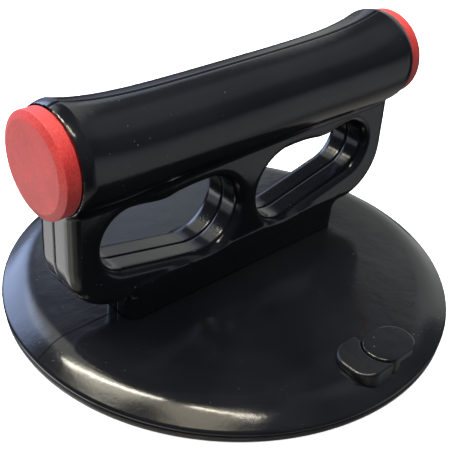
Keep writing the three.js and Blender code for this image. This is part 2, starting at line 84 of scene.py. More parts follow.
# Shape of the handle
BAR_R_MID = 15.7
BAR_R_END = 17.6
BAR_DROP = 2.2
FLARE_REACH = 68
FLARE_POWER = 3.6
RISE_POWER = 6
END_ARC_FROM = 68.2
END_ARC_R = 11
END_CREASE = 0.06  # slope of the end's rounding where it starts
WEB_HALF_T = 9.5
WEB_LOW = 19.3
WEB_CORNER_R = 19.5
WEB_FILLET = 4
OPENING_FILLET = 3.5
LOBES = ((18.5, 38.7, 13.9), (49.6, 42.4, 10.8))  # x, z and radius of the two ends of a finger opening
RIDGE = (37.1, 1.6, 7.5)  # x, depth and half width of the ridge between two fingers
FOOT_HALF = 49.5
GAP = 0.3
SEAM = 0.13
FLANGE_X = 72  # inner face of a button's flange
STROKE = 4.5
STUD = (-8.2, -68.2, 0)  # under the release housing
STUD_R = 2.5
FOOT_HOLE_R = 1.7
SHELL_HOLE_R = 1.7
AIRWAY_R = 2.8  # through the pad's middle and up the handle's column
GASKET_SEAT_R = 5.3
SOCKET_R = 1.5  # holds the plug's stem
ON_AXIS = 1e-6


# ---------------------------------------------------------------- solid shapes as distance fields
def round_max(a, b, r):
    """Where two fields overlap, with an outside edge of radius r."""
    corner = np.hypot(np.maximum(a + r, 0), np.maximum(b + r, 0))
    return np.minimum(np.maximum(a, b), -r) + corner


def corner_distance(a, b):
    """Signed distance to the corner that two square half planes share."""
    return np.hypot(np.maximum(a, 0), np.maximum(b, 0)) + np.minimum(np.maximum(a, b), 0)


def soft_min(a, b, k):
    """Two fields joined, with a fillet that reaches k to either side."""
    h = np.maximum(k - np.abs(a - b), 0) / k
    return np.minimum(a, b) - h * h * k / 4


def bar_line(x):
    """Radius and height of the bar's section at x."""
    reach = np.minimum(1, np.abs(x) / FLARE_REACH)
    past = np.clip(np.abs(x) - END_ARC_FROM, 0, BAR_HALF - END_ARC_FROM)
    arc = END_CREASE * past + END_ARC_R - np.sqrt(END_ARC_R**2 - past**2)
    radius = BAR_R_MID + (BAR_R_END - BAR_R_MID) * reach**FLARE_POWER - arc
    return radius, BAR_Z - BAR_DROP * (1 - reach**RISE_POWER)


def bar_field(x, y, z):
    r, middle = bar_line(x)
    return round_max(np.hypot(y, z - middle) - r, np.abs(x) - BAR_HALF, 0.25)


def web_outline(x, z):
    """A plate with an open top and two large lower corners."""
    r = WEB_CORNER_R
    across = np.abs(x) - (BAR_HALF - r)
    down = (WEB_LOW + r) - z
    return corner_distance(across, down) - r


def opening_outline(x, z):
    """Two unequal round lobes with their common tangents, and a low ridge in the roof."""
    (x0, z0, r0), (x1, z1, r1) = LOBES
    length = math.hypot(x1 - x0, z1 - z0)
    ux, uz = (x1 - x0) / length, (z1 - z0) / length
    px, pz = np.abs(x) - x0, z - z0
    along = px * ux + pz * uz
    side = np.abs(pz * ux - px * uz)
    slope = (r0 - r1) / length
    rise = math.sqrt(1 - slope**2)
    turn = rise * along - slope * side
    reach = np.where(turn < 0, np.hypot(along, side) - r0,
                     np.where(turn > rise * length, np.hypot(along - length, side) - r1,
                              side * rise + along * slope - r0))
    at, depth, width = RIDGE
    bump = depth * np.exp(-(((np.abs(x) - at) / width) ** 2)) / (1 + np.exp(-(z - z0 - 6) / 1.5))
    return reach + bump


def web_field(x, y, z):
    thick = np.abs(y) - WEB_HALF_T
    plate = round_max(web_outline(x, z), thick, WEB_FILLET)
    rim = round_max(-opening_outline(x, z), thick, OPENING_FILLET)
    return np.maximum(np.maximum(plate, rim), z - (BAR_Z - 8))


def foot_field(x, y, z):
    corner = 4.5
    half_width = 8.3 + 0.6 * np.clip((z - PAD_TOP) / 11, 0, 1)
    across = np.abs(x) - (FOOT_HALF - corner)
    deep = np.abs(y) - (half_width - corner)
    plan = corner_distance(across, deep) - corner
    return np.maximum(np.maximum(plan, (PAD_TOP + GAP) - z), z - (WEB_LOW + 4))


def handle_field(x, y, z):
    foot_fillet, bar_fillet = 2.4, 1.1
    groove_depth, groove_width = 0.28, 0.42
    lower = soft_min(web_field(x, y, z), foot_field(x, y, z), foot_fillet)
    whole = soft_min(bar_field(x, y, z), lower, bar_fillet)
    seam_groove = groove_depth * np.exp(-((y / groove_width) ** 2))
    return np.maximum(whole + seam_groove, (PAD_TOP + GAP) - z)


# ---------------------------------------------------------------- meshes
def steps(*spans):
    """Grid positions from (end, step) spans that start at 0, mirrored to the negative side."""
    out = [0.0]
    for end, step in spans:
        count = max(1, round((end - out[-1]) / step))
        out += list(np.linspace(out[-1], end, count + 1)[1:])
    return np.array([-v for v in reversed(out[1:])] + out)


def surface_net(field, axes):
    """Corners and quads round the zero level of a field, with one corner in each grid cell it crosses."""
    xs, ys, zs = axes
    grid = field(xs[:, None, None], ys[None, :, None], zs[None, None, :])
    inside = grid < 0
    shape = [len(a) - 1 for a in axes]
    offsets = np.array([(i, j, k) for i in (0, 1) for j in (0, 1) for k in (0, 1)])
    held = np.zeros(shape, np.int8)
    for i, j, k in offsets:
        held += inside[i:i + shape[0], j:j + shape[1], k:k + shape[2]]
    cells = np.argwhere((held > 0) & (held < 8))
    number = np.full(shape, -1)
    number[tuple(cells.T)] = np.arange(len(cells))

    places = [np.stack([axis[(cells[:, a] + o[a])] for a, axis in enumerate(axes)], 1) for o in offsets]
    values = [grid[tuple((cells + o).T)] for o in offsets]
    total = np.zeros((len(cells), 3))
    crossings = np.zeros(len(cells))
    for p in range(8):
        for q in range(p + 1, 8):
            if np.abs(offsets[p] - offsets[q]).sum() != 1:
                continue
            cut = (values[p] < 0) != (values[q] < 0)
            share = np.where(cut, values[p] / np.where(cut, values[p] - values[q], 1), 0)
            total += np.where(cut[:, None], places[p] + (places[q] - places[p]) * share[:, None], 0)
            crossings += cut
    points = total / crossings[:, None]

    quads = []
    for axis in range(3):
        b, c = (axis + 1) % 3, (axis + 2) % 3
        first = inside.take(range(shape[axis]), axis)
        second = inside.take(range(1, shape[axis] + 1), axis)
        edges = np.argwhere(first != second)
        keep = (edges[:, b] > 0) & (edges[:, c] > 0) & (edges[:, b] < shape[b]) & (edges[:, c] < shape[c])
        edges = edges[keep]
        step_b, step_c = np.eye(3, dtype=int)[b], np.eye(3, dtype=int)[c]
        ring = np.stack([edges, edges - step_b, edges - step_b - step_c, edges - step_c], 1)
        quad = number[ring[..., 0], ring[..., 1], ring[..., 2]]
        outwards = first[tuple(edges.T)]
        quad[~outwards] = quad[~outwards][:, ::-1]
        quads.append(quad)
    return points, np.concatenate(quads)


def settle(field, points, rounds=4):
    """Moves points onto the zero level of a field."""
    h = 0.02
    for _ in range(rounds):
        rise = [field(*(points + h * unit).T) - field(*(points - h * unit).T) for unit in np.eye(3)]
        slope = np.stack(rise, 1) / (2 * h)
        value = field(*points.T)
        points = points - slope * (value / np.maximum((slope**2).sum(1), 0.2))[:, None]
    return points


def add_object(name, data):
    """Puts a mesh, light or camera in the scene as an object."""
    obj = bpy.data.objects.new(name, data)
    bpy.context.scene.collection.objects.link(obj)
    return obj


def mesh_object(name, points, faces):
    mesh = bpy.data.meshes.new(name)
    mesh.from_pydata((np.asarray(points) * MM).tolist(), [], [list(map(int, face)) for face in faces])
    mesh.validate()
    return add_object(name, mesh)


def from_bmesh(name, bm):
    mesh = bpy.data.meshes.new(name)
    bm.to_mesh(mesh)
    bm.free()
    return add_object(name, mesh)


def rounded(corners, segments=6):
    """A closed outline of (along, radius, rounding) corners, each rounding drawn as an arc."""
    out = []
    for i, (a, r, rounding) in enumerate(corners):
        here = np.array([a, r], float)
        before = np.array(corners[i - 1][:2], float) - here
        after = np.array(corners[(i + 1) % len(corners)][:2], float) - here
        if rounding <= 0:
            out.append(here)
            continue
        u, v = before / np.linalg.norm(before), after / np.linalg.norm(after)
        half = math.acos(np.clip(u @ v, -1, 1)) / 2
        reach = rounding / math.tan(half)
        centre = here + (u + v) / np.linalg.norm(u + v) * rounding / math.sin(half)
        start, end = here + u * reach - centre, here + v * reach - centre
        sweep = math.pi - 2 * half
        for step in range(segments + 1):
            t = step / segments
            arm = (start * math.sin((1 - t) * sweep) + end * math.sin(t * sweep)) / math.sin(sweep)
            out.append(centre + arm)
    return [tuple(map(float, p)) for p in out]


FROM_Z = {
    "z": Matrix(),
    "x": Matrix.Rotation(math.pi / 2, 4, "Y"),
    "y": Matrix.Rotation(-math.pi / 2, 4, "X"),
}


def lathe(name, profile, axis="z", at=(0, 0, 0), sides=128):
    """A closed body turned from an outline of (along, radius) points."""
    bm = bmesh.new()
    turns = [2 * math.pi * i / sides for i in range(sides)]
    rings = []
    for along, radius in profile:
        if radius < ON_AXIS:
            rings.append([bm.verts.new((0, 0, along))])
            continue
        rings.append([bm.verts.new((radius * math.cos(t), radius * math.sin(t), along)) for t in turns])
    for k, ring in enumerate(rings):
        other = rings[(k + 1) % len(rings)]
        if len(ring) == 1 and len(other) == 1:
            continue
        for i in range(sides):
            j = (i + 1) % sides
            corners = [part[n % len(part)] for part, n in ((ring, i), (ring, j), (other, j), (other, i))]
            bm.faces.new(list(dict.fromkeys(corners)))
    bmesh.ops.recalc_face_normals(bm, faces=bm.faces)
    bm.transform(Matrix.Scale(MM, 4) @ Matrix.Translation(Vector(at)) @ FROM_Z[axis])
    return from_bmesh(name, bm)


def rod(name, axis, r, low, high, at=(0, 0, 0), sides=48):
    return lathe(name, [(low, 0), (low, r), (high, r), (high, 0)], axis, at, sides)


def block(name, low, high):
    bm = bmesh.new()
    bmesh.ops.create_cube(bm, size=1)
    low, high = Vector(low), Vector(high)
    size = high - low
    bm.transform(Matrix.Scale(MM, 4) @ Matrix.Translation((low + high) / 2) @ Matrix.Diagonal((*size, 1)))
    return from_bmesh(name, bm)


def combine(target, cutter, operation="DIFFERENCE"):
    """Joins or cuts two closed bodies, and uses up the second."""
    modifier = target.modifiers.new("combine", "BOOLEAN")
    modifier.operation = operation
    modifier.solver = "MANIFOLD"
    modifier.object = cutter
    shown = target.evaluated_get(bpy.context.evaluated_depsgraph_get())
    made = bpy.data.meshes.new_from_object(shown)
    target.modifiers.remove(modifier)
    old = target.data
    target.data = made
    bpy.data.meshes.remove(old)
    bpy.data.objects.remove(cutter)
    return target


def face_outwards(obj):
    """Turns every face of a closed body outwards."""
    bm = bmesh.new()
    bm.from_mesh(obj.data)
    bmesh.ops.recalc_face_normals(bm, faces=bm.faces)
    bm.to_mesh(obj.data)
    bm.free()
    return obj


def copy_of(obj, name):
    twin = obj.copy()
    twin.data = obj.data.copy()
    twin.name = name
    bpy.context.scene.collection.objects.link(twin)
    return twin


def smooth(obj, degrees=32):
    obj.data.shade_smooth()
    obj.data.set_sharp_from_angle(angle=math.radians(degrees))
    return obj


def dress(obj, body, material, slot, *nodes):
    """Gives a piece its body and material, and hides the frame nodes that it stands for; the slot is not
    used.
    """
    obj.data.materials.clear()
    obj.data.materials.append(material)
    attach(obj, body)
    if nodes:
        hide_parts(*nodes)
    return obj


# ---------------------------------------------------------------- materials
class Shader:
    """A material's node tree, built by short calls."""

    def __init__(self, name):
        self.material = bpy.data.materials.new(name)
        self.material.use_nodes = True
        self.tree = self.material.node_tree
        self.main = self.tree.nodes["Principled BSDF"]
        self.place = self.tree.nodes.new("ShaderNodeTexCoord").outputs["Object"]

    def set(self, **values):
        for key, value in values.items():
            self.main.inputs[key.replace("_", " ")].default_value = value
        return self

    def node(self, kind, **inputs):
        made = self.tree.nodes.new(kind)
        for key, value in inputs.items():
            socket = made.inputs[key.replace("_", " ")]
            if isinstance(value, bpy.types.NodeSocket):
                self.tree.links.new(value, socket)
            else:
                socket.default_value = value
        return made

    def noise(self, scale, detail=3.0, roughness=0.5, place=None):
        made = self.node("ShaderNodeTexNoise", Vector=place or self.place, Scale=scale, Detail=detail,
                         Roughness=roughness)
        return made.outputs["Fac"]

    def spread(self, fac, low, high, start=0.3, end=0.7):
        """Maps a factor between two stops onto a low and a high value."""
        made = self.node("ShaderNodeMapRange", Value=fac)
        for key, value in (("From Min", start), ("From Max", end), ("To Min", low), ("To Max", high)):
            made.inputs[key].default_value = value
        return made.outputs["Result"]

    def ramp(self, fac, stops):
        made = self.node("ShaderNodeValToRGB", Fac=fac)
        elements = made.color_ramp.elements
        while len(elements) < len(stops):
            elements.new(0.5)
        for element, (position, colour) in zip(elements, stops):
            element.position = position
            element.color = (*colour, 1)
        return made.outputs["Color"]

    def stretched(self, scale, turn=(0, 0, 0)):
        made = self.node("ShaderNodeMapping", Vector=self.place)
        made.inputs["Scale"].default_value = scale
        made.inputs["Rotation"].default_value = turn
        return made.outputs["Vector"]

    def add(self, *terms):
        made = self.node("ShaderNodeMath")
        for socket, term in zip(made.inputs, terms):
            self.tree.links.new(term, socket)
        return made.outputs["Value"]

    def link(self, output, name):
        self.tree.links.new(output, self.main.inputs[name])
        return self

    def bump(self, height, strength, distance):
        made = self.node("ShaderNodeBump", Height=height, Strength=strength, Distance=distance)
        return self.link(made.outputs["Normal"], "Normal")


def gloss_black(name="gloss_black_plastic", rough=(0.1, 0.2)):
    """Moulded black plastic: slightly wavy, with clouded gloss, hairline scratches and some dust."""
    s = Shader(name)
    dust = s.spread(s.noise(1100, 2, 0.4), 0, 0.5, 0.72, 0.77)
    tint = s.add(s.spread(s.noise(35, 4), 0, 0.5), dust)
    black, grey, speck = (0.0035, 0.0038, 0.005), (0.0065, 0.007, 0.0085), (0.09, 0.09, 0.085)
    s.link(s.ramp(tint, [(0, black), (0.5, grey), (0.6, grey), (1, speck)]), "Base Color")
    cloudy = s.spread(s.noise(60, 5, 0.6), *rough)
    along_scratches = s.stretched((60, 2500, 2500), (0.2, 0.4, 0.6))
    hairlines = s.spread(s.noise(1, 2, 0.6, along_scratches), 0, 0.1, 0.62, 0.75)
    s.link(s.add(cloudy, hairlines), "Roughness")
    s.bump(s.add(s.noise(110, 3), s.spread(s.noise(900, 3), 0, 0.06)), 0.16, 0.0006)
    return s.set(Specular_IOR_Level=0.5).material


def red_plastic():
    s = Shader("satin_red_plastic")
    grain = s.noise(1500, 5, 0.75)
    cloud = s.noise(90, 4)
    mixed = s.add(s.spread(grain, 0, 0.7, 0.4, 0.6), s.spread(cloud, 0, 0.3, 0.4, 0.6))
    s.link(s.ramp(mixed, [(0.1, (0.31, 0.01, 0.009)), (0.9, (0.5, 0.031, 0.026))]), "Base Color")
    s.link(s.spread(grain, 0.42, 0.6), "Roughness")
    s.bump(grain, 0.5, 0.0002)
    return s.set(Specular_IOR_Level=0.5, Sheen_Weight=0.1, Sheen_Roughness=0.5).material


def rubber():
    s = Shader("black_rubber")
    dark, light = (0.012, 0.012, 0.013), (0.022, 0.022, 0.022)
    s.link(s.ramp(s.noise(120, 5), [(0.3, dark), (0.7, light)]), "Base Color")
    s.link(s.spread(s.noise(300, 4), 0.3, 0.48), "Roughness")
    s.bump(s.noise(1500, 3), 0.15, 0.0001)
    return s.material


def white_plastic():
    s = Shader("white_engineering_plastic")
    s.link(s.ramp(s.noise(200, 4), [(0.3, (0.74, 0.74, 0.7)), (0.7, (0.82, 0.82, 0.79))]), "Base Color")
    s.link(s.spread(s.noise(600, 3), 0.35, 0.5), "Roughness")
    return s.material


def clear_tube():
    s = Shader("milky_tube")
    s.link(s.ramp(s.noise(150, 4), [(0.3, (0.62, 0.68, 0.7)), (0.7, (0.74, 0.78, 0.8))]), "Base Color")
    s.link(s.spread(s.noise(500, 3), 0.2, 0.32), "Roughness")
    return s.set(Transmission_Weight=0.35).material


def metal(name, dark, light, rough):
    s = Shader(name)
    brushed = s.noise(1, 4, 0.6, s.stretched((400, 400, 6000)))
    s.link(s.ramp(brushed, [(0.3, dark), (0.7, light)]), "Base Color")
    s.link(s.spread(brushed, *rough), "Roughness")
    return s.set(Metallic=1.0).material


def studio_paint(name, glow):
    """Pale paint that glows a little, so that it stays light far from the lamps."""
    s = Shader(name)
    s.link(s.ramp(s.noise(6, 4), [(0.3, (0.86, 0.86, 0.86)), (0.7, (0.89, 0.89, 0.89))]), "Base Color")
    s.link(s.spread(s.noise(25, 3), 0.55, 0.65), "Roughness")
    return s.set(Specular_IOR_Level=0.2, Emission_Color=(1, 1, 1, 1), Emission_Strength=glow).material


BLACK = gloss_black()
PAD_BLACK = gloss_black("gloss_black_pad", (0.1, 0.17))
LUG_BLACK = gloss_black("worn_black_plastic", (0.24, 0.34))
RED = red_plastic()
RUBBER = rubber()
WHITE = white_plastic()
TUBE = clear_tube()
STEEL = metal("brushed_steel", (0.5, 0.51, 0.52), (0.68, 0.69, 0.7), (0.24, 0.36))
BRASS = metal("turned_brass", (0.55, 0.4, 0.16), (0.7, 0.53, 0.24), (0.22, 0.34))
BY_SLOT = {"gloss_black": BLACK, "red_buttons": RED, "rubber": RUBBER, "white_plastic": WHITE,
           "clear_tube": TUBE, "steel": STEEL, "brass": BRASS}


def dress_frame_nodes():
    """Every node of the frame gets its slot's material."""
    for entry in frame["record"]["subparts"]:
        node = frame["nodes"][entry["node"]]
        node.data.materials.clear()
        node.data.materials.append(BY_SLOT[entry["material_slot"]])


# ---------------------------------------------------------------- handle
def pump_bore(side):
    seat = FLANGE_X - STROKE - GAP  # where the pressed button's flange comes to rest
    mouth = BUTTON_R + GAP
    outline = [
        (30, 0), (30, 3), (34, 3), (34, 11.6), (53, 11.6), (53, 13), (58, 13), (58, 14.4),
        (seat, 14.4), (seat, mouth), (75, mouth), (75, 0),
    ]
    return lathe(f"bore_{side}", [(side * a, r) for a, r in outline], "x", (0, 0, BAR_Z), 160)


def grip_hollow():
    stations = np.linspace(-30.5, 30.5, 13)
    outline = [(-30.5, 0), *[(float(x), float(bar_line(x)[0]) - 3) for x in stations], (30.5, 0)]
    return lathe("grip_hollow", outline, "x", (0, 0, BAR_Z - BAR_DROP), 64)


def web_pockets():
    depth = WEB_HALF_T - 2.7
    for xs, zs in (((6.5, 15.5), (12, 21)), ((24.5, 31), (12, 21)), ((62.5, 67), (32, 41.5))):
        for side in (-1, 1):
            low, high = sorted(side * x for x in xs)
            yield block("pocket", (low, -depth, zs[0]), (high, depth, zs[1]))


def foot_screw_places():
    for i in range(1, 5):
        x, y, _ = sum(box_mm(f"foot_screw_{i}")) / 2
        yield x, y, 0


def screw_places():
    """Number, X, Z and head top of each of the four shell screws."""
    for i in range(1, 5):
        low, high = box_mm(f"shell_screw_{i}")
        yield i, (low[0] + high[0]) / 2, (low[2] + high[2]) / 2, high[1]


HEAD_RECESS = [(6.1, 0), (6.1, 3.2), (9.1, 3.2), (9.9, 3.9), (14, 3.9), (14, 0)]  # along Y and radius


def make_handle():
    xs = steps((54, 0.8), (66.5, 0.55), (BAR_HALF + 0.6, 0.3))
    ys = steps((0.9, 0.15), (18.2, 0.6))
    zs = np.linspace(PAD_TOP - 0.4, BAR_Z + BAR_R_END + 0.8, 145)
    points, quads = surface_net(handle_field, (xs, ys, zs))
    outer = mesh_object("handle_outer", settle(handle_field, points), quads)
    column = rod("column", "z", AIRWAY_R, 0, 64)
    cutters = [grip_hollow(), pump_bore(1), pump_bore(-1), column, *web_pockets()]
    cutters.append(rod("gasket_seat", "z", GASKET_SEAT_R, 0, PAD_TOP + 2.6))
    cutters += [rod("foot_hole", "z", FOOT_HOLE_R, 0, 20, at) for at in foot_screw_places()]
    for cutter in cutters:
        combine(outer, cutter)
    front = copy_of(outer, "handle_front")
    rear = copy_of(outer, "handle_rear")
    bpy.data.objects.remove(outer)
    combine(front, block("half", (-90, -40, -5), (90, -SEAM, 110)), "INTERSECT")
    combine(rear, block("half", (-90, SEAM, -5), (90, 40, 110)), "INTERSECT")
    for _, x, z, _ in screw_places():
        combine(front, rod("pilot", "y", SHELL_HOLE_R, -6.4, 1, (x, 0, z)))
        combine(rear, rod("shank_hole", "y", SHELL_HOLE_R, -1, 12, (x, 0, z)))
        combine(rear, lathe("head_recess", HEAD_RECESS, "y", (x, 0, z), 64))
    dress(smooth(front), "body", BLACK, "gloss_black", "handle_front_shell")
    dress(smooth(rear), "body", BLACK, "gloss_black", "handle_rear_shell")


def make_shell_screws():
    for i, x, z, top in screw_places():
        shank, head = 1.4, 2.9
        outline = rounded([(top - 14, 0, 0), (top - 14, shank, 0.3), (top - 1.5, shank, 0),
                           (top - 1.5, head, 0.15), (top - 0.7, head, 0.3), (top, 1.9, 0.6), (top, 0, 0)])
        screw = lathe(f"shell_screw_fine_{i}", outline, "y", (x, 0, z), 48)
        for half_x, half_z in ((1.9, 0.33), (0.33, 1.9)):
            low, high = (x - half_x, top - 0.9, z - half_z), (x + half_x, top + 1, z + half_z)
            combine(screw, block("cross", low, high))
        dress(smooth(screw), "body", STEEL, "steel", f"shell_screw_{i}")


# ---------------------------------------------------------------- buttons
def make_button(side, name):
    roof = 75.2  # inner face of the button's end wall
    corners = [
        (roof, 0, 0), (roof, 4.2, 0), (66, 4.2, 0.2), (66, 6, 0.2), (roof, 6, 0), (roof, 12.4, 0),
        (63, 12.4, 0.2), (63, 14, 0.2), (FLANGE_X, 14, 0), (FLANGE_X, BUTTON_R, 0.3),
        (76.6, BUTTON_R, 0.35), (BUTTON_OUT, 13.9, 0.35), (BUTTON_OUT, 0, 0),
    ]
    outline = [(side * a, r) for a, r in rounded(corners)]
    button = lathe(f"{name}_cap", outline, "x", (0, 0, BAR_Z), 160)
    dress(smooth(button, 40), f"{name}_pump", RED, "red_buttons", f"{name}_button")


def make_return_spring(side, name):
    """A coil that stands on the collar, in the place of the frame's return spring."""
    low, high = box_mm(f"{name}_return_spring")
    wire, turns, sides = 0.6, 5, 12
    radius = (high[2] - low[2]) / 2 - wire
    near, far = sorted((low[0], high[0]), key=abs)
    count = turns * 36 + 1
    points = []
    for i in range(count):
        share = i / (count - 1)
        turn = 2 * math.pi * turns * share
        middle = near + side * wire + (far - near - 2 * side * wire) * share
        out = np.array([0, math.cos(turn), math.sin(turn)])
        for k in range(sides):
            angle = 2 * math.pi * k / sides
            across = wire * math.cos(angle) * out + np.array([wire * math.sin(angle), 0, 0])
            points.append(np.array([middle, 0, BAR_Z]) + radius * out + across)
    faces = [list(range(sides)), [len(points) - 1 - k for k in range(sides)]]
    for i in range(count - 1):
        for k in range(sides):
            a, b = i * sides + k, i * sides + (k + 1) % sides
            faces.append([a, a + sides, b + sides, b])
    spring = face_outwards(mesh_object(f"{name}_spring_coil", points, faces))
    dress(smooth(spring, 60), "body", STEEL, "steel", f"{name}_return_spring")
    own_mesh(spring)


# ---------------------------------------------------------------- pad
def bezier(points, count):
    a, b, c, d = (np.array(p, float) for p in points)
    for t in np.linspace(0, 1, count):
        yield tuple(a * (1 - t) ** 3 + 3 * b * t * (1 - t) ** 2 + 3 * c * t**2 * (1 - t) + d * t**3)


def rim_line(count=24):
    """Height and radius of the pad's outer face, from its flat top over the bend to its edge."""
    return list(bezier([(PAD_TOP, 68.4), (PAD_TOP, 73.4), (7.3, 75.6), (4.1, PAD_R - 0.25)], count))


def pad_height(x, y):
    """Height of the pad's outer face under a place."""
    height, radius = np.array(rim_line()).T
    return np.interp(np.hypot(x, y), radius, height)


def make_pad():
    edge = [(3.75, PAD_R - 0.07), (3.4, PAD_R), (3.1, PAD_R - 0.08), (2.86, PAD_R - 0.35),
            (2.8, PAD_R - 0.7), (2.8, 77.8), (5.4, 72), (5.4, 46), (7, 46), (7, 0), (PAD_TOP, 0)]
    top = [(PAD_TOP, r) for r in (20, 40, 55, 63)]
    pad = lathe("pad_cover", [*edge, *top, *rim_line()], "z", (0, 0, 0), 256)
    holes = [(FOOT_HOLE_R, at) for at in foot_screw_places()]
    holes += [(AIRWAY_R, (0, 0, 0)), (3.8, (PLUG[0], PLUG[1], 0)), (STUD_R + GAP, STUD)]
    for r, at in holes:
        combine(pad, rod("hole", "z", r, 0, PAD_TOP + 1, at))
    combine(pad, moulded_line())
    dress(smooth(pad), "body", PAD_BLACK, "gloss_black", "pad_shell")


def moulded_line():
    """A blade that scores the pad's parting line, from the foot's end out over the rim."""
    depth, half = 0.3, 0.17
    start, turn, past_rim = 49.3, math.radians(180), 82
    low = [(start, PAD_TOP - depth), *[(r - depth * 0.5, z - depth * 0.6) for z, r in rim_line(12)]]
    outline = [*low, (past_rim, low[-1][1]), (past_rim, PAD_TOP + 1), (start, PAD_TOP + 1)]
    across = Vector((-math.sin(turn), math.cos(turn), 0)) * half
    out = Vector((math.cos(turn), math.sin(turn), 0))
    count = len(outline)
    points = [out * r + Vector((0, 0, z)) + s * across for s in (1, -1) for r, z in outline]
    sides = [(i, i + count, (i + 1) % count + count, (i + 1) % count) for i in range(count)]
    ends = [list(range(count)), list(range(count, 2 * count))[::-1]]
    return face_outwards(mesh_object("blade", points, [*ends, *sides]))


def make_cup():
    cavity, ridge_foot = 1.5, 0.7
    corners = [(5.1, 6, 0), (cavity, 6, 0.2)]
    for r in (28, 50):
        corners += [(cavity, r - 1.2, 0.3), (ridge_foot, r - 0.8, 0.2)]
        corners += [(ridge_foot, r + 0.8, 0.2), (cavity, r + 1.2, 0.3)]
    corners += [(cavity, 67.5, 0.5), (0, 70.2, 0.8), (0, 79.6, 0.1), (0.35, CUP_R, 0.15),
                (1.2, CUP_R, 0.3), (1.6, 79.5, 0.1), (2.1, 77.6, 0.1), (5.1, 71.8, 0.2)]
    cup = lathe("cup", rounded(corners, 4), "z", (0, 0, 0), 256)
    combine(cup, rod("valve_hole", "z", 1.6, 0, 6, (PLUG[0], PLUG[1], 0)))
    dress(smooth(cup), "body", RUBBER, "rubber", "suction_cup")


# ---------------------------------------------------------------- release
def obround(xs, ys, r):
    """Signed distance to a plan rectangle with round corners."""
    x_mid, x_half = sum(xs) / 2, (xs[1] - xs[0]) / 2
    y_mid, y_half = sum(ys) / 2, (ys[1] - ys[0]) / 2

    def plan(x, y):
        across = np.abs(x - x_mid) - (x_half - r)
        deep = np.abs(y - y_mid) - (y_half - r)
        return corner_distance(across, deep) - r

    return plan


LUG_BOTTOM = 5
LEVER_PLAN = obround((HINGE[0] + 2.7, LEVER_HIGH[0] - 0.8), (LEVER_LOW[1], LEVER_HIGH[1]), 6.7)
HOUSING_PLAN = obround((HOUSING_LOW[0], 9), (HOUSING_LOW[1], HOUSING_HIGH[1]), 6.5)


def lever_field(x, y, z):
    """The thumb pad, with a lip on its outer part that a fingertip gets under."""
    top, edge = LEVER_HIGH[2], 0.7
    lip_thickness, lip_reach = 2.1, 2.4
    under = np.clip((top - lip_thickness - z) / 0.8, 0, 1)
    inset = lip_reach * under * np.clip((x - 4.5) / 2.5, 0, 1)
    return np.maximum(round_max(LEVER_PLAN(x, y) + inset, z - top, edge), pad_height(x, y) + GAP + 0.1 - z)


def housing_field(x, y, z):
    """A mound that slopes down past the hinge, and fits round the thumb pad."""
    slope, edge, play = 0.2, 0.9, 0.5
    top = HOUSING_HIGH[2] - slope * np.maximum(0, HINGE[0] - 1.6 - x)
    body = round_max(HOUSING_PLAN(x, y), z - top, edge)
    hollow = np.maximum(play - LEVER_PLAN(x, y), x - HOUSING_HIGH[0])
    return np.maximum(round_max(body, hollow, 0.3), pad_height(x, y) + GAP - z)


def small_body(name, field, low, high, step=0.22):
    axes = [np.arange(a - 0.7, b + 0.7 + step, step) for a, b in zip(low, high)]
    points, quads = surface_net(field, axes)
    return mesh_object(name, settle(field, points), quads)


def hinge_rod(name, r, low, high, sides=32):
    return rod(name, "y", r, HINGE[1] + low, HINGE[1] + high, (HINGE[0], 0, HINGE[2]), sides)


def make_release():
    housing = small_body("release_lug", housing_field, (*HOUSING_LOW[:2], LUG_BOTTOM), HOUSING_HIGH)
    combine(housing, rod("stud", "z", STUD_R, 6, PAD_TOP + 1, STUD), "UNION")
    slot_low = (HINGE[0] - 2.1, HINGE[1] - 5, PAD_TOP)
    combine(housing, block("slot", slot_low, (HINGE[0] + 4.5, HINGE[1] + 5, HOUSING_HIGH[2] - 0.35)))
    combine(housing, hinge_rod("pin_hole", 0.65, -6, 11))
    dress(smooth(housing), "body", LUG_BLACK, "gloss_black", "release_housing")

    low = (HINGE[0] + 2.5, LEVER_LOW[1], LUG_BOTTOM)
    lever = small_body("release_thumb_lever", lever_field, low, LEVER_HIGH)
    for start, end in ((-4.6, -2.6), (2.6, 4.6)):
        combine(lever, hinge_rod("eye", 1.1, start, end), "UNION")
        arm_low = (HINGE[0], HINGE[1] + start, HINGE[2] - 0.9)
        combine(lever, block("arm", arm_low, (HINGE[0] + 5, HINGE[1] + end, HINGE[2] + 0.2)), "UNION")
    combine(lever, hinge_rod("bore", 0.7, -9, 9))
    combine(lever, rod("socket", "z", SOCKET_R, 0, PAD_TOP + 2.2, (PLUG[0], PLUG[1], 0)))
    dress(smooth(lever), "release", BLACK, "gloss_black", "release_lever")


# ---------------------------------------------------------------- studio
def make_floor():
    """A pale floor that throws no light or reflection on the object."""
    half, count, below = 3000, 24, 0.3
    line = np.linspace(-half, half, count)
    points = [(x, y, -below) for y in line for x in line]
    faces = [(r * count + c, r * count + c + 1, (r + 1) * count + c + 1, (r + 1) * count + c)
             for r in range(count - 1) for c in range(count - 1)]
    floor = mesh_object("floor", points, faces)
    floor.data.materials.append(studio_paint("studio_floor", glow=0.55))
    floor.visible_glossy = False
    floor.visible_diffuse = False


def make_backdrop():
    """A pale wall round the floor that only the camera sees."""
    radius, low, high, sides = 2900, -10, 4000, 96
    turns = [2 * math.pi * i / sides for i in range(sides)]
    points = [(radius * math.cos(t), radius * math.sin(t), z) for z in (low, high) for t in turns]
    faces = [(i, (i + 1) % sides, (i + 1) % sides + sides, i + sides) for i in range(sides)]
    wall = mesh_object("backdrop", points, faces)
    wall.data.materials.append(studio_paint("studio_wall", glow=1.0))
    wall.visible_glossy = wall.visible_diffuse = wall.visible_transmission = wall.visible_shadow = False


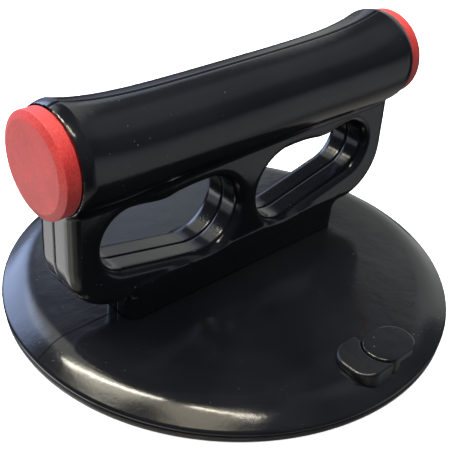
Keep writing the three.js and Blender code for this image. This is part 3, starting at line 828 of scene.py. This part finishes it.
def make_camera():
    """The photo's viewpoint, with its frame set below the lens's own middle as a cropped picture's is."""
    at = Vector((-181.42, -184.57, 192.29)) * MM
    yaw, pitch, roll = 0.767, 0.526, 0.068
    focal_pixels, frame_pixels = 860.96, 450
    ahead = Vector((math.sin(yaw) * math.cos(pitch), math.cos(yaw) * math.cos(pitch), -math.sin(pitch)))
    right = ahead.cross(Vector((0, 0, 1))).normalized()
    up = right.cross(ahead)
    right, up = math.cos(roll) * right + math.sin(roll) * up, math.cos(roll) * up - math.sin(roll) * right
    data = bpy.data.cameras.new("camera")
    data.sensor_width = 36
    data.lens = data.sensor_width * focal_pixels / frame_pixels
    data.shift_y = -0.1
    camera = add_object("camera", data)
    camera.matrix_world = Matrix.Translation(at) @ Matrix((right, up, -ahead)).transposed().to_4x4()
    bpy.context.scene.camera = camera


def area_light(name, at, target, size, power, colour=(1, 1, 1)):
    data = bpy.data.lights.new(name, "AREA")
    data.shape = "RECTANGLE"
    data.size, data.size_y = size
    data.energy = power
    data.color = colour
    light = add_object(name, data)
    light.location = at
    light.rotation_mode = "QUATERNION"
    light.rotation_quaternion = (Vector(target) - Vector(at)).to_track_quat("-Z", "Y")
    return light


def strip_lamp(name, target, ends, width, power, colour):
    """A long narrow lamp that reaches between two directions, seen from the place that it lights."""
    away = 1.2
    start, end = (towards(*place) for place in ends)
    out = (start + end).normalized()
    along = (end - start).normalized()
    length = 2 * away * math.tan(start.angle(end) / 2)
    lamp = area_light(name, Vector(target) + away * out, target, (length, width), power, colour)
    lamp.rotation_quaternion = Matrix((along, out.cross(along), out)).transposed().to_quaternion()


def towards(azimuth, elevation):
    """A unit direction from two angles in degrees, azimuth 0 along +X."""
    a, e = math.radians(azimuth), math.radians(elevation)
    return Vector((math.cos(e) * math.cos(a), math.cos(e) * math.sin(a), math.sin(e)))


SKY = (  # azimuth and elevation, half angle, the share of it that is full, colour
    ((0, 90), 170, 0.5, (0.06, 0.065, 0.08)),
    ((-75, 42), 45, 0.3, (0.06, 0.065, 0.09)),
    ((98, 22), 27, 0.4, (2.4, 3.1, 4.9)),  # cool window
    ((84, 18), 36, 0.3, (0.5, 0.6, 0.9)),
    ((95, 47), 19, 0.5, (1.3, 1.28, 1.15)),  # its frame
    ((141, -8), 15, 0.4, (0.8, 0.85, 0.95)),
    ((140, 60), 18, 0.3, (9, 8.5, 7)),  # warm ceiling light
    ((-150, 71), 17, 0.3, (4.4, 4, 3.1)),
    ((138, -36), 24, 0.7, (2.35, 2.35, 2.35)),  # bright ground beyond the left end
    ((-176, -35), 27, 0.35, (1.2, 1.2, 1.12)),
    ((-140, -36), 30, 0.1, (0.4, 0.4, 0.36)),
    ((0, -85), 60, 0.4, (0.5, 0.48, 0.46)),
    ((20, 11), 31, 0.7, (0.6, 0.62, 0.58)),  # pale wall on the right
    ((44, 12), 16, 0.7, (0.1, 0.1, 0.1)),
    ((54, 27), 12, 0.7, (0.6, 0.68, 0.8)),
    ((-15, 48), 26, 0.3, (0.24, 0.25, 0.28)),
    ((-48, -16), 28, 0.3, (0.46, 0.48, 0.5)),
)


def lobe(world, direction, width, core, colour):
    """A patch of sky round a direction, with a soft edge outside core times its half angle."""
    nodes, links = world.node_tree.nodes, world.node_tree.links
    dot = nodes.new("ShaderNodeVectorMath")
    dot.operation = "DOT_PRODUCT"
    links.new(nodes["sky place"].outputs["Generated"], dot.inputs[0])
    dot.inputs[1].default_value = direction
    ramp = nodes.new("ShaderNodeMapRange")
    ramp.interpolation_type = "SMOOTHSTEP"
    links.new(dot.outputs["Value"], ramp.inputs["Value"])
    ramp.inputs["From Min"].default_value = math.cos(math.radians(width))
    ramp.inputs["From Max"].default_value = math.cos(math.radians(width * core))
    paint = nodes.new("ShaderNodeVectorMath")
    paint.operation = "SCALE"
    paint.inputs[0].default_value = colour
    links.new(ramp.outputs["Result"], paint.inputs["Scale"])
    return paint.outputs["Vector"]


def make_sky():
    """A dim room with a few soft bright and dull patches."""
    world = bpy.data.worlds.new("studio")
    bpy.context.scene.world = world
    world.use_nodes = True
    nodes, links = world.node_tree.nodes, world.node_tree.links
    nodes.new("ShaderNodeTexCoord").name = "sky place"
    total = None
    for place, width, core, colour in SKY:
        patch = lobe(world, towards(*place), width, core, colour)
        if total is not None:
            add = nodes.new("ShaderNodeVectorMath")
            links.new(total, add.inputs[0])
            links.new(patch, add.inputs[1])
            patch = add.outputs["Vector"]
        total = patch
    links.new(total, nodes["Background"].inputs["Color"])


def make_lights():
    make_sky()
    # Their reflections are the two streaks on the pad's bent rim
    strip_lamp("long_lamp", target=(-0.052, -0.055, 0.007), ends=((128, 44), (150, 75)),
               width=0.09, power=7, colour=(1, 0.96, 0.82))
    strip_lamp("far_lamp", target=(-0.01, -0.075, 0.007), ends=((-176, 76), (-105, 65)),
               width=0.05, power=3, colour=(1, 0.94, 0.78))
    middle = (0, 0, 0.05)
    fills = [area_light("overhead", (0.1, 0.1, 1.3), middle, size=(1.2, 1.2), power=24),
             area_light("front", (-0.9, -0.9, 0.9), middle, size=(0.8, 0.8), power=8),
             area_light("left", (-1.2, 0.1, 0.4), middle, size=(0.8, 0.8), power=1.5)]
    for light in fills:
        light.visible_glossy = False
    bpy.context.scene.view_settings.view_transform = "Standard"


make_camera()
dress_frame_nodes()
make_pad()
make_cup()
make_handle()
make_shell_screws()
for end, end_name in ((1, "right"), (-1, "left")):
    make_button(end, end_name)
    make_return_spring(end, end_name)
make_release()
make_floor()
make_backdrop()
make_lights()
